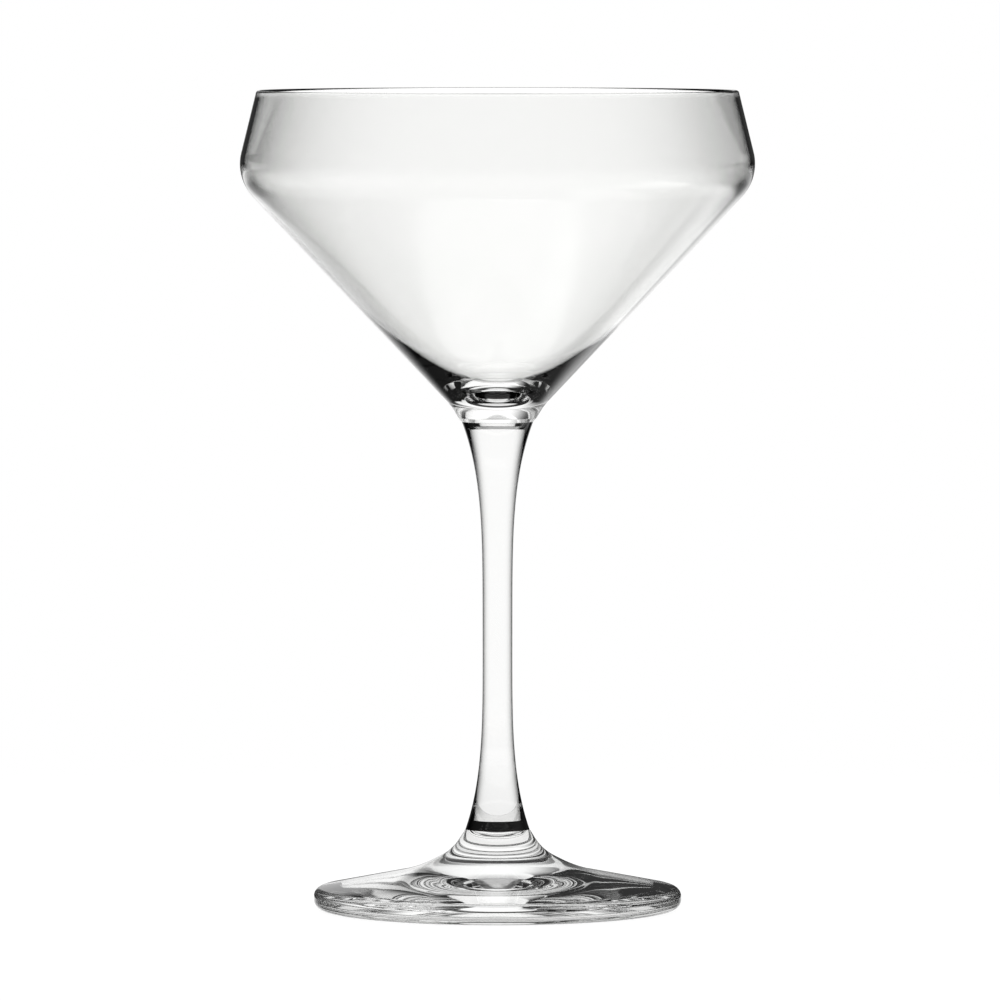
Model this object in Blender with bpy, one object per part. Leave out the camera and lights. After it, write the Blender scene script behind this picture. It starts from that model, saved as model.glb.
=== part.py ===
"""Coupe glass of clear crystal: a blown bowl, a drawn stem and a pressed foot, fused end to end.

Metres, +Z up. The origin is on the glass's axis, in the plane that the foot stands on.
Each piece is a solid of revolution, modelled from its own lower end and set on the piece below it.
"""

import math

import bmesh
import bpy

# Foot: a pressed disc with a boss for the stem above and a shallow hollow underneath
FOOT_RADIUS = 0.0396
FOOT_EDGE = 0.0043  # height of the edge before it is rounded
FOOT_EDGE_ROUND = 0.0020
FOOT_SLOPE_RADIUS = 0.0175  # where the top of the disc starts to rise more steeply
FOOT_SLOPE_HEIGHT = 0.0087
FOOT_SLOPE_ROUND = 0.0295
FOOT_BOSS_RADIUS = 0.0097  # where that slope would meet the side of the boss
FOOT_BOSS_HEIGHT = 0.0127
FOOT_BOSS_ROUND = 0.0121
FOOT_HEIGHT = 0.0170  # to the seam with the stem
RING_INNER_RADIUS = 0.0329  # the foot stands on the flat ring outside this
RING_ROUND = 0.0108
HOLLOW_RADIUS = 0.0152  # where the flank of the hollow would meet its crown
HOLLOW_HEIGHT = 0.0019
HOLLOW_ROUND = 0.2700

# Stem: a solid rod that swells from its waist to both seams
STEM_LENGTH = 0.0875
STEM_WAIST_RADIUS = 0.0032
STEM_WAIST_HEIGHT = 0.0416  # above the lower seam
STEM_FLARE_POWER = 3.9  # how late the rod swells towards its ends
ANKLE_RADIUS = 0.0069  # at the seam between foot and stem
NECK_RADIUS = 0.0077  # at the seam between stem and bowl

# Bowl, outside: a neck, a straight cone, a round shoulder and a lip that leans in
CONE_START_RADIUS = 0.0101
NECK_RISE = 0.0034
NECK_ROUND = 0.0138
SHOULDER_RADIUS = 0.0563  # where cone and lip would meet before they are rounded
CONE_RISE = 0.0489
SHOULDER_ROUND = 0.0103
RIM_RADIUS = 0.0517
LIP_RISE = 0.0187

# Bowl, inside: a floor that curves up into a straight wall, which keeps beside the outside of the cone
BOWL_FLOOR = 0.0049  # glass between the seam and the inside of the bowl
FLOOR_PULL = 0.0110  # how far the floor pulls the curve outward
WALL_PULL = 0.0120  # how far the straight wall pulls the curve down and inward
WALL_STRAIGHT = 0.0330  # length of that wall, down from the shoulder
SHOULDER_WALL = 0.0013  # measured level, through the corner of the shoulder
RIM_WALL = 0.0012
RIM_ROUND = 0.00058

# Fit and finish
SEAM_GAP = 0.0003  # between the flat ends that are fused
SEAM_ROUND = 0.0003  # the soft edge of each flat end, which leaves the fine line of the seam
SIDES = 64  # facets round the axis
CHORD_ERROR = 0.00003  # how far a facet may stray from its fillet
FLARE_STEPS = 11  # along each half of the stem
WALL_STEPS = 14  # along the curve of the floor
SHARP_ANGLE = math.radians(40)

STEM_BASE = FOOT_HEIGHT + SEAM_GAP
BOWL_BASE = STEM_BASE + STEM_LENGTH + SEAM_GAP


def clear_scene():
    for leftover in list(bpy.data.objects):
        bpy.data.objects.remove(leftover)


def shortest_turn(angle):
    """The same turn, between minus and plus half a circle."""
    return (angle + math.pi) % (2 * math.pi) - math.pi


def rounded(corners):
    """Points along an outline through corners (r, z, fillet radius). A corner with no radius stays sharp.

    Two fillets that would not fit on the stretch between them share it.
    """
    stretches = list(zip(corners, corners[1:]))
    lengths = [math.dist(a[:2], b[:2]) for a, b in stretches]
    headings = [math.atan2(b[1] - a[1], b[0] - a[0]) for a, b in stretches]
    turns = [shortest_turn(b - a) for a, b in zip(headings, headings[1:])]
    wanted = [corner[2] * math.tan(abs(turn) / 2) for corner, turn in zip(corners[1:-1], turns)]
    wanted = [0.0, *wanted, 0.0]
    shares = [min(1.0, length / max(a + b, 1e-12)) for length, a, b in zip(lengths, wanted, wanted[1:])]

    points = [corners[0][:2]]
    for index, turn in enumerate(turns, start=1):
        r, z, radius = corners[index]
        radius *= min(shares[index - 1], shares[index])
        if radius == 0.0:
            points.append((r, z))
            continue
        heading = headings[index - 1]
        setback = radius * math.tan(abs(turn) / 2)
        side = math.copysign(radius, turn)
        centre_r = r - setback * math.cos(heading) - side * math.sin(heading)
        centre_z = z - setback * math.sin(heading) + side * math.cos(heading)
        steps = max(2, math.ceil(abs(turn) / (2 * math.acos(1 - CHORD_ERROR / radius))))
        for step in range(steps + 1):
            angle = heading + turn * step / steps
            points.append((centre_r + side * math.sin(angle), centre_z - side * math.cos(angle)))
    points.append(corners[-1][:2])
    return points


def foot_outline():
    return rounded([
        (0.0, FOOT_HEIGHT, 0.0),
        (ANKLE_RADIUS, FOOT_HEIGHT, SEAM_ROUND),
        (FOOT_BOSS_RADIUS, FOOT_BOSS_HEIGHT, FOOT_BOSS_ROUND),
        (FOOT_SLOPE_RADIUS, FOOT_SLOPE_HEIGHT, FOOT_SLOPE_ROUND),
        (FOOT_RADIUS, FOOT_EDGE, FOOT_EDGE_ROUND),
        (FOOT_RADIUS, 0.0, FOOT_EDGE_ROUND),
        (RING_INNER_RADIUS, 0.0, RING_ROUND),
        (HOLLOW_RADIUS, HOLLOW_HEIGHT, HOLLOW_ROUND),
        (0.0, HOLLOW_HEIGHT, 0.0),
    ])


def flare(end_radius, start_height, end_height):
    """Outline of half the stem, from its waist to one end: (r, z) points after the waist."""
    points = []
    for step in range(1, FLARE_STEPS + 1):
        share = step / FLARE_STEPS
        swell = (end_radius - STEM_WAIST_RADIUS) * share**STEM_FLARE_POWER
        points.append((STEM_WAIST_RADIUS + swell, start_height + (end_height - start_height) * share))
    return points


def stem_outline():
    upper = flare(NECK_RADIUS, STEM_WAIST_HEIGHT, STEM_LENGTH)
    lower = flare(ANKLE_RADIUS, STEM_WAIST_HEIGHT, 0.0)
    side = [*reversed(upper), (STEM_WAIST_RADIUS, STEM_WAIST_HEIGHT), *lower]
    seams = (0, len(side) - 1)
    corners = [(r, z, SEAM_ROUND if index in seams else 0.0) for index, (r, z) in enumerate(side)]
    return rounded([(0.0, STEM_LENGTH, 0.0), *corners, (0.0, 0.0, 0.0)])


def inner_wall(shoulder_r, shoulder_z):
    """A Bezier curve from the middle of the floor to the foot of the straight wall."""
    lean = math.atan2(SHOULDER_RADIUS - CONE_START_RADIUS, CONE_RISE)
    foot_r = shoulder_r - WALL_STRAIGHT * math.sin(lean)
    foot_z = shoulder_z - WALL_STRAIGHT * math.cos(lean)
    pull_r = foot_r - WALL_PULL * math.sin(lean)
    pull_z = foot_z - WALL_PULL * math.cos(lean)
    points = []
    for step in range(WALL_STEPS + 1):
        t = step / WALL_STEPS
        rest = 1 - t
        r = 3 * rest**2 * t * FLOOR_PULL + 3 * rest * t**2 * pull_r + t**3 * foot_r
        z = (rest + 3 * t) * rest**2 * BOWL_FLOOR + 3 * rest * t**2 * pull_z + t**3 * foot_z
        points.append((r, z, 0.0))
    return points


def bowl_outline():
    shoulder_height = NECK_RISE + CONE_RISE
    rim_height = shoulder_height + LIP_RISE
    inner_round = SHOULDER_ROUND - SHOULDER_WALL
    inner_shoulder = SHOULDER_RADIUS - SHOULDER_WALL
    return rounded([
        *inner_wall(inner_shoulder, shoulder_height),
        (inner_shoulder, shoulder_height, inner_round),
        (RIM_RADIUS - RIM_WALL, rim_height, RIM_ROUND),
        (RIM_RADIUS, rim_height, RIM_ROUND),
        (SHOULDER_RADIUS, shoulder_height, SHOULDER_ROUND),
        (CONE_START_RADIUS, NECK_RISE, NECK_ROUND),
        (NECK_RADIUS, 0.0, SEAM_ROUND),
        (0.0, 0.0, 0.0),
    ])


def clear_glass(name, colour, roughness):
    material = bpy.data.materials.new(name)
    material.use_nodes = True
    shader = material.node_tree.nodes["Principled BSDF"]
    shader.inputs["Base Color"].default_value = (*colour, 1.0)
    shader.inputs["Roughness"].default_value = roughness
    shader.inputs["Metallic"].default_value = 0.0
    shader.inputs["Transmission Weight"].default_value = 1.0
    shader.inputs["IOR"].default_value = 1.52
    return material


def turned(name, outline, material):
    """One closed solid: the outline, which starts and ends on the axis, spun round it."""
    shape = bmesh.new()
    points = [shape.verts.new((r, 0.0, z)) for r, z in outline]
    edges = [shape.edges.new(pair) for pair in zip(points, points[1:])]
    bmesh.ops.spin(
        shape, geom=points + edges, cent=(0, 0, 0), axis=(0, 0, 1), dvec=(0, 0, 0),
        angle=2 * math.pi, steps=SIDES, use_merge=True, use_duplicate=False,
    )
    bmesh.ops.remove_doubles(shape, verts=shape.verts, dist=1e-6)
    bmesh.ops.recalc_face_normals(shape, faces=shape.faces)
    mesh = bpy.data.meshes.new(name)
    shape.to_mesh(mesh)
    shape.free()
    mesh.shade_smooth()
    mesh.set_sharp_from_angle(angle=SHARP_ANGLE)
    mesh.materials.append(material)
    piece = bpy.data.objects.new(name, mesh)
    bpy.context.scene.collection.objects.link(piece)
    return piece


def build():
    clear_scene()
    glass = bpy.data.objects.new("coupe_glass", None)
    bpy.context.scene.collection.objects.link(glass)

    foot = turned("foot", foot_outline(), clear_glass("foot_glass", (0.95, 0.96, 0.95), 0.02))
    stem = turned("stem", stem_outline(), clear_glass("stem_glass", (0.97, 0.97, 0.96), 0.01))
    bowl = turned("bowl", bowl_outline(), clear_glass("bowl_glass", (0.98, 0.98, 0.97), 0.0))

    stem.location.z = STEM_BASE
    bowl.location.z = BOWL_BASE
    for piece in (foot, stem, bowl):
        piece.parent = glass


build()
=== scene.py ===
import math

import bmesh
import bpy
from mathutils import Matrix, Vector
from mathutils.geometry import interpolate_bezier


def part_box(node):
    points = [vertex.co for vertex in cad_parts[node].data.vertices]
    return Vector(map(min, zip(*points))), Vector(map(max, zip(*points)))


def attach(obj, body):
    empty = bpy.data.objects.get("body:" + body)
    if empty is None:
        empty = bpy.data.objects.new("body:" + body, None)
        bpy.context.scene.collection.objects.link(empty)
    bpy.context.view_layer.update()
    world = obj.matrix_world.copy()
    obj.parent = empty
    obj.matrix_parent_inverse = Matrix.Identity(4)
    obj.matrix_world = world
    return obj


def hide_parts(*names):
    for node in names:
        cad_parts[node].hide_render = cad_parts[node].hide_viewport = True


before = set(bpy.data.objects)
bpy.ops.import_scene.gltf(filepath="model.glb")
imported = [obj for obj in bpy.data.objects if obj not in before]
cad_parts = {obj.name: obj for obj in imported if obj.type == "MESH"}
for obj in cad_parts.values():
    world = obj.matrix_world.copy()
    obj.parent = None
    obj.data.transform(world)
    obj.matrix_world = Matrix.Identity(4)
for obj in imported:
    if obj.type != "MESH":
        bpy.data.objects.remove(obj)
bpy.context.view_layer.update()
scene = bpy.context.scene

# Where the three gathers are fused, half way between the ends of the solids
lowerSeam = (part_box("foot")[1].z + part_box("stem")[0].z) / 2
upperSeam = (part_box("stem")[1].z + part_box("bowl")[0].z) / 2
print("seams at", round(lowerSeam * 1000, 2), "and", round(upperSeam * 1000, 2), "mm")


# Node helpers
def link(tree, source, target):
    if isinstance(source, bpy.types.NodeSocket):
        tree.links.new(source, target)
    else:
        target.default_value = source


def mathNode(tree, operation, *values):
    node = tree.nodes.new("ShaderNodeMath")
    node.operation = operation
    for socket, value in zip(node.inputs, values):
        link(tree, value, socket)
    return node.outputs[0]


def productNode(tree, first, *others):
    for other in others:
        first = mathNode(tree, "MULTIPLY", first, other)
    return first


def rangeNode(tree, value, low, high, toLow=0.0, toHigh=1.0):
    node = tree.nodes.new("ShaderNodeMapRange")
    node.interpolation_type = "SMOOTHSTEP"
    link(tree, value, node.inputs["Value"])
    for name, number in (("From Min", low), ("From Max", high), ("To Min", toLow), ("To Max", toHigh)):
        link(tree, number, node.inputs[name])
    return node.outputs["Result"]


def fallNode(tree, value, low, high):
    return rangeNode(tree, value, low, high, 1.0, 0.0)


def blendNode(tree, share, first, second):
    node = tree.nodes.new("ShaderNodeMix")
    link(tree, share, node.inputs["Factor"])
    link(tree, first, node.inputs["A"])
    link(tree, second, node.inputs["B"])
    return node.outputs["Result"]


def colourNode(tree, share, first, second):
    node = tree.nodes.new("ShaderNodeMix")
    node.data_type = "RGBA"
    link(tree, share, node.inputs["Factor"])
    for name, colour in (("A", first), ("B", second)):
        socket = next(item for item in node.inputs if item.name == name and item.type == "RGBA")
        link(tree, colour if isinstance(colour, bpy.types.NodeSocket) else (*colour, 1.0), socket)
    return next(item for item in node.outputs if item.type == "RGBA")


def noiseNode(tree, coordinates, scale, detail):
    node = tree.nodes.new("ShaderNodeTexNoise")
    node.inputs["Scale"].default_value = scale
    node.inputs["Detail"].default_value = detail
    link(tree, coordinates, node.inputs["Vector"])
    return node.outputs["Fac"]


# Turned glass
turning = {
    "straight": 1e-4,  # a corner that turns by less than this, in radians, needs no fillet
    "mergeDistance": 1e-7,
    "seamReach": 1e-6,  # how close to its seam a fused face lies
    "sharpAngle": 50,
}


def softCorner(before, corner, after, radius, steps):
    # a fillet, drawn as one Bezier stretch
    into = (corner - before).normalized()
    out = (after - corner).normalized()
    turn = into.angle(out)
    if radius == 0 or turn < turning["straight"]:
        return [corner]
    setback = radius * math.tan(turn / 2)
    pull = 4 / 3 * math.tan(turn / 4) * radius
    start, end = corner - into * setback, corner + out * setback
    return interpolate_bezier(start, start + into * pull, end - out * pull, end, steps)


def softProfile(corners, steps):
    # corners are (radius, height, rounding); the first and last stay as they are
    spots = [Vector((r, 0, z)) for r, z, _ in corners]
    points = [spots[0]]
    for index in range(1, len(spots) - 1):
        before, corner, after = spots[index - 1:index + 2]
        points += softCorner(before, corner, after, corners[index][2], steps)
    points.append(spots[-1])
    return points


def turnedPiece(name, points, look, seamHeights):
    shape = bmesh.new()
    verts = [shape.verts.new(point) for point in points]
    edges = [shape.edges.new(pair) for pair in zip(verts, verts[1:])]
    bmesh.ops.spin(
        shape, geom=verts + edges, cent=(0, 0, 0), axis=(0, 0, 1), dvec=(0, 0, 0),
        angle=2 * math.pi, steps=look["sides"], use_merge=True, use_duplicate=False,
    )
    bmesh.ops.remove_doubles(shape, verts=shape.verts, dist=turning["mergeDistance"])
    bmesh.ops.recalc_face_normals(shape, faces=shape.faces)
    for face in shape.faces:  # the fused ends let light straight through
        for height in seamHeights:
            if all(abs(vert.co.z - height) < turning["seamReach"] for vert in face.verts):
                face.material_index = 1
    mesh = bpy.data.meshes.new(name)
    shape.to_mesh(mesh)
    shape.free()
    mesh.shade_smooth()
    mesh.set_sharp_from_angle(angle=math.radians(turning["sharpAngle"]))
    piece = bpy.data.objects.new(name, mesh)
    scene.collection.objects.link(piece)
    mesh.materials.append(glassMaterial(name, look))
    mesh.materials.append(seamClear)
    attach(piece, "root")
    print(name, len(mesh.polygons), "faces")
    return piece


# The glass itself
melt = {
    "cordScale": 40.0,  # faint cords in the melt
    "cordDetail": 2.0,
    "cordRange": (0.35, 0.65),
    "facingBlend": 0.5,
    "smearScale": 90.0,  # a breath of handling
    "smearDetail": 4.0,
    "smearRange": (0.45, 0.75),
    "waveDetail": 1.0,
}


def glassMaterial(name, look):
    material = bpy.data.materials.new(name + "Glass")
    material.use_nodes = True
    tree = material.node_tree
    shader = tree.nodes["Principled BSDF"]
    place = tree.nodes.new("ShaderNodeTexCoord").outputs["Object"]
    shader.inputs["Transmission Weight"].default_value = 1.0
    shader.inputs["IOR"].default_value = look["ior"]

    cords = noiseNode(tree, place, melt["cordScale"], melt["cordDetail"])
    cords = rangeNode(tree, cords, *melt["cordRange"])
    tint = colourNode(tree, cords, look["tint"], look["tintThick"])
    facing = tree.nodes.new("ShaderNodeLayerWeight")
    facing.inputs["Blend"].default_value = melt["facingBlend"]
    turned = facing.outputs["Facing"]
    paintedEdgeShade = rangeNode(tree, turned, *look["paintedEdgeShade"])  # painted shade: the glass is greyed towards its outline, by how far its surface turns from the view
    tint = colourNode(tree, paintedEdgeShade, tint, look["paintedEdgeShadeTint"])

    parts = tree.nodes.new("ShaderNodeSeparateXYZ")
    link(tree, place, parts.inputs["Vector"])
    x, y, height = parts.outputs
    off = mathNode(tree, "ABSOLUTE", mathNode(tree, "SUBTRACT", height, look["zoneFrom"]))
    paintedShadeZone = rangeNode(tree, off, *look["paintedShadeZone"])  # painted shade over the lip, the swelling ends of the stem and the foot's lower edge, darker still towards their outline
    edge = rangeNode(tree, turned, *look["paintedZoneEdgeFacing"])
    tint = colourNode(tree, paintedShadeZone, tint, colourNode(tree, edge, look["paintedZoneShadeTint"], look["paintedZoneEdgeTint"]))
    # painted shade: the outside of the lip is painted black near its outline, a painted dark edge
    if "paintedLipEdgeFacing" in look:
        away = mathNode(tree, "ADD", productNode(tree, x, x), productNode(tree, y, y))
        away = mathNode(tree, "SQRT", away)
        away = mathNode(tree, "ADD", away, productNode(tree, height, look["lipLean"]))
        outside = rangeNode(tree, away, *look["lipOut"])  # the lip's inside stays clear
        outside = mathNode(tree, "MAXIMUM", outside, fallNode(tree, height, *look["lipFoot"]))
        upper = rangeNode(tree, height, *look["lipRange"])
        paintedLipEdge = productNode(tree, upper, rangeNode(tree, turned, *look["paintedLipEdgeFacing"]), outside)
        tint = colourNode(tree, paintedLipEdge, tint, look["paintedLipEdgeTint"])
        unshadedRim = rangeNode(tree, height, *look["rimRange"])  # the fire-polished rim is left clear of all painted shade
        tint = colourNode(tree, unshadedRim, tint, look["tint"])
    link(tree, tint, shader.inputs["Base Color"])

    smear = noiseNode(tree, place, melt["smearScale"], melt["smearDetail"])
    smear = rangeNode(tree, smear, *melt["smearRange"])
    rough = rangeNode(tree, smear, 0.0, 1.0, look["polish"], look["polish"] + look["smear"])
    link(tree, rough, shader.inputs["Roughness"])

    bump = tree.nodes.new("ShaderNodeBump")  # the slow waviness of worked glass
    bump.inputs["Strength"].default_value = 1.0
    bump.inputs["Distance"].default_value = look["wave"]
    wave = noiseNode(tree, place, look["waveScale"], melt["waveDetail"])
    link(tree, wave, bump.inputs["Height"])
    link(tree, bump.outputs["Normal"], shader.inputs["Normal"])
    return material


seamClear = bpy.data.materials.new("seamClear")
seamClear.use_nodes = True
seamShader = seamClear.node_tree.nodes["Principled BSDF"]
seamShader.inputs["Base Color"].default_value = (0.98, 0.98, 0.97, 1.0)
seamShader.inputs["Transmission Weight"].default_value = 1.0
seamShader.inputs["Alpha"].default_value = 0.0

# Bowl
bowlLook = {
    "neckRadius": 0.0077,
    "coneStart": 0.0101,
    "neckRise": 0.0034,
    "neckRound": 0.0138,
    "collarRadius": 0.0084,  # where the seam was fused
    "collarRise": 0.0008,
    "collarRound": 0.0010,
    "seamRound": 0.0003,
    "shoulderRadius": 0.0563,
    "coneRise": 0.0489,
    "shoulderRound": 0.0103,
    "rimRadius": 0.0517,
    "lipRise": 0.0187,
    "floor": 0.0049,
    "floorPull": 0.0110,
    "wallPull": 0.0120,
    "wallStraight": 0.0330,
    "shoulderWall": 0.0013,
    "rimWall": 0.0012,
    "rimRound": 0.00058,
    "floorSteps": 48,
    "roundSteps": 24,
    "sides": 256,
    "ior": 1.52,
    "tint": (0.995, 0.995, 0.99),
    "tintThick": (0.985, 0.988, 0.98),
    # painted shade: the bowl's glass greys towards its outline
    "paintedEdgeShade": (0.24, 1.05),
    "paintedEdgeShadeTint": (0.56, 0.565, 0.555),
    # painted shade: the lip is painted greyer, with painted grey edges
    "zoneFrom": 0.0,  # heights above the table, here and below
    "paintedShadeZone": (0.1562, 0.1612),
    "paintedZoneEdgeFacing": (0.0, 1.05),
    "paintedZoneShadeTint": (0.965, 0.966, 0.960),
    "paintedZoneEdgeTint": (0.50, 0.505, 0.495),
    # painted shade: where the lip's outside is painted black towards its outline
    "lipRange": (0.1450, 0.1560),
    "paintedLipEdgeFacing": (0.67, 0.82),
    "lipLean": 0.246,  # how far the lip leans in for its height
    "lipOut": (0.0941, 0.0947),  # between its inside and its outside, with the lean taken out
    "lipFoot": (0.1560, 0.1590),
    "paintedLipEdgeTint": (0.0, 0.0, 0.0),
    "rimRange": (0.1746, 0.1757),
    "polish": 0.0,
    "smear": 0.012,
    "wave": 0.00004,
    "waveScale": 30.0,
}


def bowlPoints(look):
    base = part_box("bowl")[0].z
    shoulder = base + look["neckRise"] + look["coneRise"]
    rim = shoulder + look["lipRise"]
    innerRound = look["shoulderRound"] - look["shoulderWall"]
    innerShoulder = Vector((look["shoulderRadius"] - look["shoulderWall"], 0, shoulder))
    middle = Vector((0, 0, base + look["floor"]))
    cone = Vector((look["shoulderRadius"] - look["coneStart"], 0, look["coneRise"])).normalized()
    wallFoot = innerShoulder - cone * look["wallStraight"]
    inside = interpolate_bezier(
        middle, middle + Vector((look["floorPull"], 0, 0)),
        wallFoot - cone * look["wallPull"], wallFoot, look["floorSteps"],
    )
    corners = [
        (inside[-1].x, inside[-1].z, 0),
        (innerShoulder.x, shoulder, innerRound),
        (look["rimRadius"] - look["rimWall"], rim, look["rimRound"]),
        (look["rimRadius"], rim, look["rimRound"]),
        (look["shoulderRadius"], shoulder, look["shoulderRound"]),
        (look["coneStart"], base + look["neckRise"], look["neckRound"]),
        (look["collarRadius"], upperSeam + look["collarRise"], look["collarRound"]),
        (look["neckRadius"], upperSeam, look["seamRound"]),
        (0, upperSeam, 0),
    ]
    return inside[:-1] + softProfile(corners, look["roundSteps"])


bowl = turnedPiece("clearBowl", bowlPoints(bowlLook), bowlLook, [upperSeam])
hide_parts("bowl")

# Stem
stemLook = {
    "waistRadius": 0.0032,
    "waistHeight": 0.0589,
    "flarePower": 3.9,
    "ankleRadius": 0.0069,
    "neckRadius": 0.0077,
    "flareSteps": 48,
    "sides": 128,
    "ior": 1.52,
    "tint": (0.91, 0.91, 0.905),
    "tintThick": (0.90, 0.902, 0.895),
    # painted shade: the stem's edges are painted almost black
    "paintedEdgeShade": (0.10, 0.75),
    "paintedEdgeShadeTint": (0.04, 0.04, 0.04),
    # painted shade: the swelling ends of the stem get wider painted black edges
    "zoneFrom": 0.0589,  # the waist
    "paintedShadeZone": (0.026, 0.044),
    "paintedZoneEdgeFacing": (0.20, 0.55),
    "paintedZoneShadeTint": (0.90, 0.90, 0.895),
    "paintedZoneEdgeTint": (0.0, 0.0, 0.0),
    "polish": 0.0,
    "smear": 0.008,
    "wave": 0.00002,
    "waveScale": 60.0,
}


def stemPoints(look):
    points = [Vector((0, 0, upperSeam))]
    for end, seam in ((look["neckRadius"], upperSeam), (look["ankleRadius"], lowerSeam)):
        half = []
        for step in range(look["flareSteps"] + 1):
            share = step / look["flareSteps"]
            swell = (end - look["waistRadius"]) * share ** look["flarePower"]
            height = look["waistHeight"] + (seam - look["waistHeight"]) * share
            half.append(Vector((look["waistRadius"] + swell, 0, height)))
        points += half[:0:-1] if seam == upperSeam else half  # from the top down, the waist once
    points.append(Vector((0, 0, lowerSeam)))
    return points


stem = turnedPiece("drawnStem", stemPoints(stemLook), stemLook, [lowerSeam, upperSeam])
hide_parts("stem")

# Foot
footLook = {
    "ankleRadius": 0.0069,
    "bossRadius": 0.0097,
    "bossHeight": 0.0127,
    "bossRound": 0.01089,
    "slopeRadius": 0.0175,
    "slopeHeight": 0.0087,
    "slopeRound": 0.0295,
    "radius": 0.0396,
    "edge": 0.0043,
    "edgeRound": 0.0020,
    "ringRadius": 0.0329,
    "ringRound": 0.0108,
    "hollowRadius": 0.0152,
    "hollowHeight": 0.0019,
    "hollowRound": 0.27,
    "roundSteps": 28,
    "sides": 256,
    "ior": 1.52,
    "tint": (0.99, 0.99, 0.985),
    "tintThick": (0.975, 0.98, 0.97),
    # painted shade: the foot's glass greys a little at its outline
    "paintedEdgeShade": (0.85, 1.0),
    "paintedEdgeShadeTint": (0.85, 0.85, 0.85),
    # painted shade: the foot's lower edge and underside are painted darker, and darker again at their
    # outline
    "zoneFrom": 0.0120,  # high on the boss, so that the edge is furthest off
    "paintedShadeZone": (0.0085, 0.0105),
    "paintedZoneEdgeFacing": (0.2, 1.0),
    "paintedZoneShadeTint": (0.76, 0.762, 0.755),
    "paintedZoneEdgeTint": (0.48, 0.482, 0.475),
    "polish": 0.0,
    "smear": 0.02,
    "wave": 0.00005,
    "waveScale": 45.0,
}


def footPoints(look):
    return softProfile([
        (0, lowerSeam, 0),
        (look["ankleRadius"], lowerSeam, 0),
        (look["bossRadius"], look["bossHeight"], look["bossRound"]),
        (look["slopeRadius"], look["slopeHeight"], look["slopeRound"]),
        (look["radius"], look["edge"], look["edgeRound"]),
        (look["radius"], 0, look["edgeRound"]),
        (look["ringRadius"], 0, look["ringRound"]),
        (look["hollowRadius"], look["hollowHeight"], look["hollowRound"]),
        (0, look["hollowHeight"], 0),
    ], look["roundSteps"])


foot = turnedPiece("pressedFoot", footPoints(footLook), footLook, [lowerSeam])
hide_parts("foot")

# Studio
studio = {
    "surround": 1.17,  # what is seen straight through the glass: pale all round
    "surroundTop": (60, 80),  # angles are in degrees
    "surroundLow": (-78, -64),
    "surroundDim": 0.3,
    "panel": 1.2,  # what the glass mirrors: a soft panel behind it, and dark beside it
    "leftEdge": (-34, -8),
    "rightEdge": (40, 75),
    "skew": 28.0,  # just above the horizon the whole panel stands this much further left
    "skewLow": (-1, 1),
    "skewTop": (5, 7),
    "tuck": 42.0,  # below the horizon its right edge is drawn in by this
    "tuckLow": (-22, -14),
    "tuckTop": (-1, 1),
    "wider": 70.0,  # high up its left edge stands further out by this
    "widerRise": (26, 36),
    "top": (28, 55),
    "topLevel": 0.4,
    "low": (-42, -24),
    "lowLevel": 0.05,
    "left": 0.02,  # the dark on both sides, and towards the camera's side
    "right": 0.01,
    "sideBlend": (-10, 10),
    "front": 0.01,
    "frontEdge": (112, 135),
    "glare": 0.05,  # what is left of the first reflection, as behind a polariser
    "tableEdge": (-4.6, -3.3),  # below this the outside mirrors the pale table
    "tableShine": 1.0,
    "stripLeft": (-9, -5),  # a strip of light just left of the middle, behind the glass
    "stripRight": (-2.5, 1.5),
    "stripFoot": (-2, 1),
    "stripTop": (14, 20),
    "stripShine": 0.6,
    "worldGlance": 2.5,  # ray depth of a first reflection; the world counts one bounce more
    "floorGlance": 1.5,
    "footBends": 3.5,  # a ray that was bent more often came by way of the bowl
    "underFoot": (0.0390, 0.0396),
    "mirrorNear": 0.07,  # how far out the floor is mirrored
    "mirrorFar": 0.09,
    "floorNear": 0.07,  # how far out it fades into the white
    "floorFar": 0.40,
    "floorMargin": 0.1,
    "floorSides": 96,
    "floorDrop": 0.0002,
    "floorGlow": 0.94,
    "floorMatte": (0.1, 0.1, 0.1, 1),  # enough to keep a faint shadow
}


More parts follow.
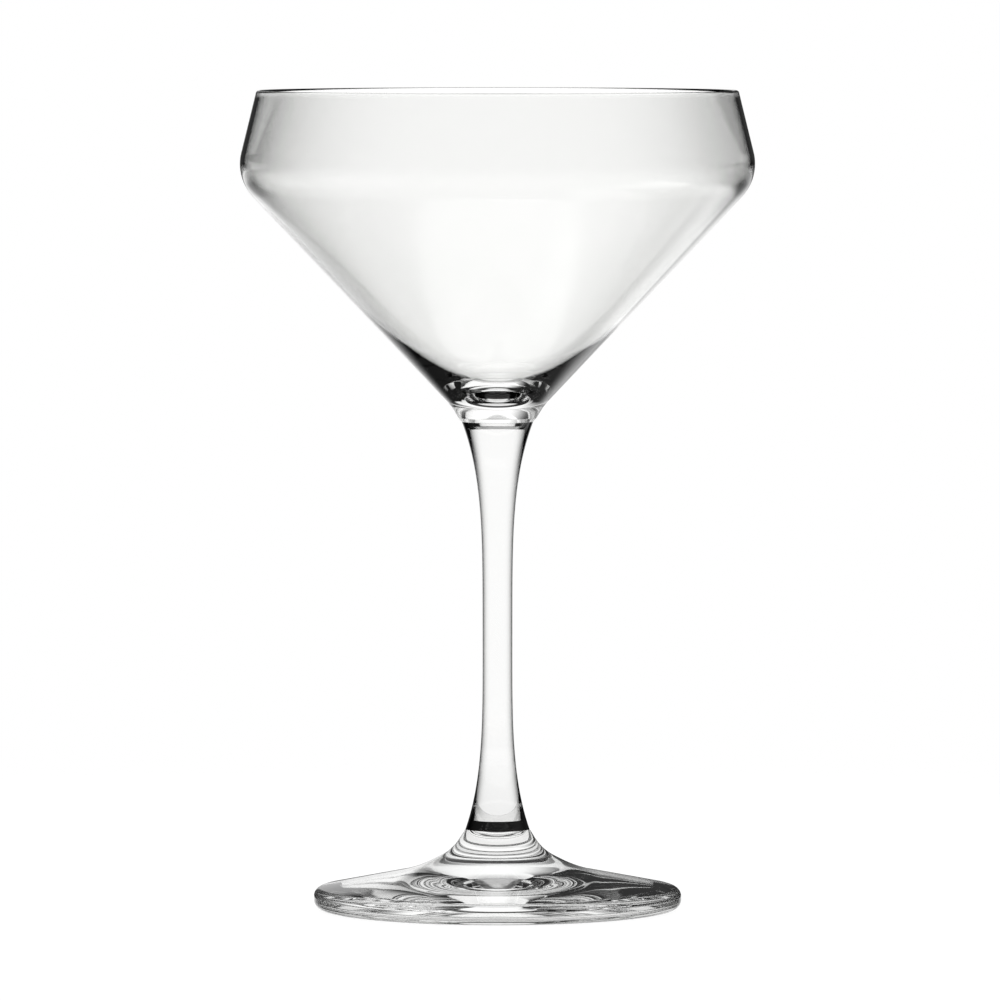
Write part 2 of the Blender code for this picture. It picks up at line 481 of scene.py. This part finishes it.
def studioWorld(light):
    world = bpy.data.worlds.new("studio")
    scene.world = world
    world.use_nodes = True
    tree = world.node_tree
    background = tree.nodes["Background"]
    background.inputs["Color"].default_value = (1, 1, 1, 1)
    aim = tree.nodes.new("ShaderNodeSeparateXYZ")
    link(tree, tree.nodes.new("ShaderNodeTexCoord").outputs["Generated"], aim.inputs["Vector"])
    x, y, z = aim.outputs
    across = mathNode(tree, "DEGREES", mathNode(tree, "ARCTAN2", x, y))
    rise = mathNode(tree, "DEGREES", mathNode(tree, "ARCSINE", z))

    skew = productNode(
        tree, rangeNode(tree, rise, *light["skewLow"], 0.0, light["skew"]),
        fallNode(tree, rise, *light["skewTop"]),
    )
    tuck = productNode(
        tree, rangeNode(tree, rise, *light["tuckLow"], 0.0, light["tuck"]),
        fallNode(tree, rise, *light["tuckTop"]),
    )
    wider = rangeNode(tree, rise, *light["widerRise"], 0.0, light["wider"])
    skewed = mathNode(tree, "ADD", across, skew)
    panel = productNode(
        tree, rangeNode(tree, mathNode(tree, "ADD", skewed, wider), *light["leftEdge"]),
        fallNode(tree, mathNode(tree, "ADD", skewed, tuck), *light["rightEdge"]),
    )
    bright = productNode(
        tree, rangeNode(tree, rise, *light["low"], light["lowLevel"], 1.0),
        rangeNode(tree, rise, *light["top"], light["panel"], light["panel"] * light["topLevel"]),
    )
    sides = rangeNode(tree, across, *light["sideBlend"], light["left"], light["right"])
    forward = rangeNode(tree, mathNode(tree, "ABSOLUTE", across), *light["frontEdge"])
    rest = blendNode(tree, forward, sides, light["front"])
    mirrored = blendNode(tree, panel, rest, bright)
    through = productNode(
        tree, rangeNode(tree, rise, *light["surroundTop"], light["surround"], light["surroundDim"]),
        rangeNode(tree, rise, *light["surroundLow"], light["surroundDim"], 1.0),
    )

    ray = tree.nodes.new("ShaderNodeLightPath")
    table = rangeNode(tree, rise, *light["tableEdge"], light["tableShine"], light["glare"])
    strip = productNode(
        tree, rangeNode(tree, across, *light["stripLeft"], 0.0, light["stripShine"]),
        fallNode(tree, across, *light["stripRight"]),
        rangeNode(tree, rise, *light["stripFoot"]),
        fallNode(tree, rise, *light["stripTop"]),
    )
    glance = mathNode(tree, "MAXIMUM", table, strip)
    dimmed = blendNode(tree, firstGlance(tree, ray, light["worldGlance"]), 1.0, glance)
    seen = blendNode(tree, wasMirrored(tree, ray), through, productNode(tree, mirrored, dimmed))
    seen = blendNode(tree, ray.outputs["Is Camera Ray"], seen, 1.0)  # the backdrop itself is white
    link(tree, seen, background.inputs["Strength"])


def wasMirrored(tree, ray):
    # 1 once the glass has reflected the ray anywhere, 0 while it was only bent
    return mathNode(tree, "GREATER_THAN", ray.outputs["Glossy Depth"], 0.5)


def firstGlance(tree, ray, limit):
    # 1 for what the outer surface mirrors at once
    early = mathNode(tree, "LESS_THAN", ray.outputs["Ray Depth"], limit)
    return productNode(tree, early, wasMirrored(tree, ray))


def studioFloor(light):
    shape = bmesh.new()
    bmesh.ops.create_circle(
        shape, cap_ends=True, cap_tris=False, segments=light["floorSides"],
        radius=light["floorFar"] + light["floorMargin"],
    )
    bmesh.ops.translate(shape, verts=shape.verts, vec=(0, 0, -light["floorDrop"]))
    mesh = bpy.data.meshes.new("paleFloor")
    shape.to_mesh(mesh)
    shape.free()
    floor = bpy.data.objects.new("paleFloor", mesh)
    scene.collection.objects.link(floor)
    material = bpy.data.materials.new("paleFloor")
    material.use_nodes = True
    tree = material.node_tree
    tree.nodes.clear()
    output = tree.nodes.new("ShaderNodeOutputMaterial")
    place = tree.nodes.new("ShaderNodeTexCoord").outputs["Object"]
    length = tree.nodes.new("ShaderNodeVectorMath")
    length.operation = "LENGTH"
    link(tree, place, length.inputs[0])
    away = length.outputs["Value"]
    ray = tree.nodes.new("ShaderNodeLightPath")

    glow = tree.nodes.new("ShaderNodeEmission")
    glow.inputs["Color"].default_value = (1, 1, 1, 1)
    glow.inputs["Strength"].default_value = light["floorGlow"]
    matte = tree.nodes.new("ShaderNodeBsdfDiffuse")
    matte.inputs["Color"].default_value = light["floorMatte"]
    pale = tree.nodes.new("ShaderNodeAddShader")
    link(tree, glow.outputs[0], pale.inputs[0])
    link(tree, matte.outputs[0], pale.inputs[1])

    clear = tree.nodes.new("ShaderNodeBsdfTransparent")
    direct = mathNode(tree, "LESS_THAN", ray.outputs["Transmission Depth"], light["footBends"])
    under = productNode(tree, fallNode(tree, away, *light["underFoot"]), direct)
    out = rangeNode(tree, away, light["mirrorNear"], light["mirrorFar"])
    faded = rangeNode(tree, away, light["floorNear"], light["floorFar"])
    hidden = productNode(tree, wasMirrored(tree, ray), mathNode(tree, "MAXIMUM", under, out))
    hidden = mathNode(tree, "MAXIMUM", hidden, firstGlance(tree, ray, light["floorGlance"]))
    hidden = mathNode(tree, "MAXIMUM", hidden, faded)
    mix = tree.nodes.new("ShaderNodeMixShader")
    link(tree, hidden, mix.inputs["Fac"])
    link(tree, pale.outputs[0], mix.inputs[1])
    link(tree, clear.outputs[0], mix.inputs[2])
    link(tree, mix.outputs[0], output.inputs["Surface"])
    mesh.materials.append(material)


studioWorld(studio)
studioFloor(studio)

overhead = {"size": 0.9, "energy": 14, "place": (-0.25, -0.2, 1.4), "turn": (-0.14, -0.18, 0)}
lamp = bpy.data.lights.new("overheadSoft", "AREA")
lamp.shape = "DISK"
lamp.size = overhead["size"]
lamp.energy = overhead["energy"]
lampObject = bpy.data.objects.new("overheadSoft", lamp)
lampObject.location = overhead["place"]
lampObject.rotation_euler = overhead["turn"]
lampObject.visible_glossy = False
lampObject.visible_transmission = False
scene.collection.objects.link(lampObject)
print("studio lit")

# Camera
view = {
    "distance": 2.1,
    "height": 0.2031,
    "aim": 0.0881,
    "side": 0.00054,
    "lens": 352.2,
    "sensor": 36,
    "reach": 50,
    "bounces": 32,  # glass behind glass needs many
    "mirrorBounces": 16,
}
camera = bpy.data.cameras.new("camera")
camera.sensor_width = view["sensor"]
camera.lens = view["lens"]
camera.clip_end = view["reach"]
cameraObject = bpy.data.objects.new("camera", camera)
cameraObject.location = (view["side"], -view["distance"], view["height"])
pitch = math.atan2(view["height"] - view["aim"], view["distance"])
cameraObject.rotation_euler = (math.pi / 2 - pitch, 0, 0)
scene.collection.objects.link(cameraObject)
scene.camera = cameraObject

scene.view_settings.view_transform = "Standard"
scene.cycles.max_bounces = view["bounces"]
scene.cycles.transmission_bounces = view["bounces"]
scene.cycles.glossy_bounces = view["mirrorBounces"]
scene.cycles.transparent_max_bounces = view["mirrorBounces"]
print("camera set")
